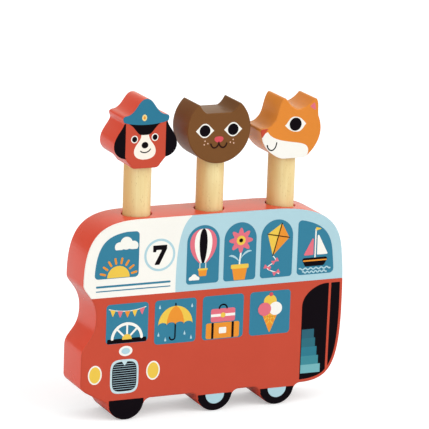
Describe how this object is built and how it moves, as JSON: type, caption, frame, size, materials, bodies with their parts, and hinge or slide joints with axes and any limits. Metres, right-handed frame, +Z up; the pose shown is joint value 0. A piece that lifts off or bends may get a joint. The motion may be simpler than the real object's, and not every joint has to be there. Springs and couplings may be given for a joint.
{
  "type": "pop-up bus toy",
  "caption": "Wooden pop-up toy: a thick board cut as a double-decker bus, with animal-headed pegs that stand on springs in bores in its roof.",
  "frame": {"origin": "on the floor, under the middle of the toy's box", "axes": "+Z up along the pegs; the bus faces -X and its printed side faces -Y"},
  "size_m": [0.206, 0.035, 0.2355],
  "materials": {
    "bus_red_paint": "smooth gloss paint over wood",
    "dog_red_paint": "smooth gloss paint over wood",
    "cat_brown_paint": "smooth gloss paint over wood",
    "fox_orange_paint": "smooth gloss paint over wood",
    "bare_beech": "bare wood with a thin clear wax",
    "spring_wire": "bright drawn spring wire",
    "zinc_screw": "zinc plated",
    "print_cream": "screen-printed ink",
    "print_pale_blue": "screen-printed ink",
    "print_teal": "screen-printed ink",
    "print_black": "screen-printed ink",
    "print_yellow": "screen-printed ink",
    "print_orange": "screen-printed ink",
    "print_pink": "screen-printed ink",
    "print_red": "screen-printed ink"
  },
  "bodies": {
    "bus": {"bus_body": "bus_red_paint", "dog_spring_screw": "zinc_screw", "cat_spring_screw": "zinc_screw", "fox_spring_screw": "zinc_screw"},
    "dog_spring": {"dog_spring": "spring_wire"},
    "dog_peg": {"dog_head": "dog_red_paint", "dog_dowel": "bare_beech"},
    "cat_spring": {"cat_spring": "spring_wire"},
    "cat_peg": {"cat_head": "cat_brown_paint", "cat_dowel": "bare_beech"},
    "fox_spring": {"fox_spring": "spring_wire"},
    "fox_peg": {"fox_head": "fox_orange_paint", "fox_dowel": "bare_beech"}
  },
  "joints": [
    {"name": "dog_press", "type": "slide", "parent": "bus", "child": "dog_spring", "axis": [0, 0, 1], "range_m": [-0.0357, 0], "stiffness_N_per_m": 300, "springref_m": 0.003, "deforming": ["dog_spring"]},
    {"name": "dog_lift", "type": "slide", "parent": "dog_spring", "child": "dog_peg", "axis": [0, 0, 1], "range_m": [0, 0.065]},
    {"name": "cat_press", "type": "slide", "parent": "bus", "child": "cat_spring", "axis": [0, 0, 1], "range_m": [-0.0357, 0], "stiffness_N_per_m": 300, "springref_m": 0.003, "deforming": ["cat_spring"]},
    {"name": "cat_lift", "type": "slide", "parent": "cat_spring", "child": "cat_peg", "axis": [0, 0, 1], "range_m": [0, 0.065]},
    {"name": "fox_press", "type": "slide", "parent": "bus", "child": "fox_spring", "axis": [0, 0, 1], "range_m": [-0.0357, 0], "stiffness_N_per_m": 300, "springref_m": 0.003, "deforming": ["fox_spring"]},
    {"name": "fox_lift", "type": "slide", "parent": "fox_spring", "child": "fox_peg", "axis": [0, 0, 1], "range_m": [0, 0.065]}
  ]
}
